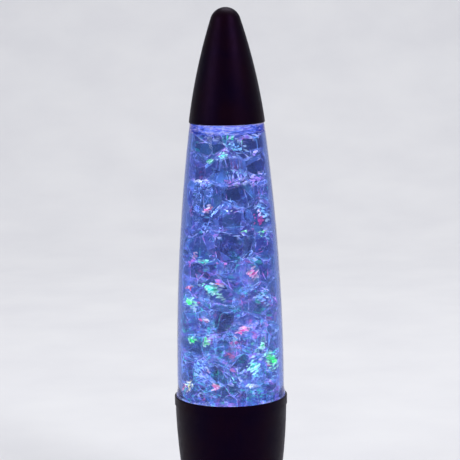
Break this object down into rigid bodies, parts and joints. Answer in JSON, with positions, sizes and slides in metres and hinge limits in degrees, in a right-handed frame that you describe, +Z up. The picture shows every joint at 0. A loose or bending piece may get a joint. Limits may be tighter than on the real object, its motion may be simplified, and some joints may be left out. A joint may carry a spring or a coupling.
{
  "type": "crystal tube table lamp",
  "caption": "Rocket-shaped table lamp: waisted dark base, tapering clear tube packed with clear crystals, dark domed cap, coloured lights under a turning lens.",
  "frame": {"origin": "middle of the footprint on the table", "axes": "+Z up along the lamp, -Y is the front, +Y is the back with the switch and the inlet"},
  "size_m": [0.093, 0.093, 0.4136],
  "materials": {
    "black_plastic": "satin near-black moulded plastic",
    "rubber": "matt",
    "zinc_screw": "zinc plated",
    "cell_jacket": "gloss jacket",
    "spring_steel": "nickel plated",
    "black_switch": "satin",
    "inlet_plastic": "gloss",
    "green_board": "solder mask",
    "chip_plastic": "matt",
    "white_plastic": "satin white moulded plastic",
    "motor_steel": "drawn steel can",
    "brass": "turned",
    "bright_steel": "ground",
    "nylon": "natural nylon",
    "white_board": "white masked metal core",
    "red_light": "clear dome over a red emitter",
    "green_light": "clear dome over a green emitter",
    "blue_light": "clear dome over a blue emitter",
    "lens_clear": "clear faceted acrylic",
    "bright_cone": "metallised plastic",
    "tube_clear": "clear polished acrylic",
    "crystal_clear": "clear faceted acrylic lit from below",
    "plug_clear": "natural moulded plastic",
    "wire_red": "insulation",
    "wire_mixed": "insulation"
  },
  "bodies": {
    "base": {"base_shell": "black_plastic", "bottom_plate": "black_plastic", "battery_door": "black_plastic", "battery_door_screw": "zinc_screw", "battery_cells": "cell_jacket", "battery_contacts": "spring_steel", "rubber_feet": "rubber", "bottom_screws": "zinc_screw", "switch_body": "black_switch", "power_inlet": "inlet_plastic", "main_board": "green_board", "board_screws": "zinc_screw", "board_components": "chip_plastic", "motor_plate": "white_plastic", "motor_plate_screws": "zinc_screw", "gearmotor": "motor_steel", "motor_screws": "zinc_screw", "spindle_bushes": "brass", "light_deck": "white_plastic", "deck_screws": "zinc_screw", "led_board": "white_board", "led_board_screws": "zinc_screw", "red_leds": "red_light", "green_leds": "green_light", "blue_leds": "blue_light", "reflector": "bright_cone", "tube": "tube_clear", "crystal_tray": "tube_clear", "tray_screws": "zinc_screw", "tube_plug": "plug_clear", "power_wires": "wire_red", "battery_wires": "wire_red", "led_wires": "wire_mixed", "motor_wires": "wire_red", "crystals_lower": "crystal_clear", "crystals_middle": "crystal_clear", "crystals_upper": "crystal_clear"},
    "lens_rotor": {"lens_spindle": "bright_steel", "spindle_gear": "nylon", "spindle_clip": "spring_steel", "colour_lens": "lens_clear"},
    "motor_rotor": {"motor_pinion": "brass", "motor_shaft": "bright_steel"},
    "switch_slider": {"switch_knob": "black_switch"},
    "cap_body": {"cap": "black_plastic"}
  },
  "joints": [
    {"name": "lens_spin", "type": "hinge", "parent": "base", "child": "lens_rotor", "pos_m": [0, 0, 0.0575], "axis": [0, 0, 1], "continuous": true},
    {"name": "pinion_spin", "type": "hinge", "parent": "base", "child": "motor_rotor", "pos_m": [-0.018, 0, 0.0575], "axis": [0, 0, 1], "continuous": true},
    {"name": "switch_slide", "type": "slide", "parent": "base", "child": "switch_slider", "axis": [1, 0, 0], "range_m": [0, 0.003]},
    {"name": "cap_lift", "type": "slide", "parent": "base", "child": "cap_body", "axis": [0, 0, 1], "range_m": [0, 0.03]}
  ],
  "couplings": [
    {"joint": "pinion_spin", "follows": "lens_spin", "ratio": -5}
  ]
}
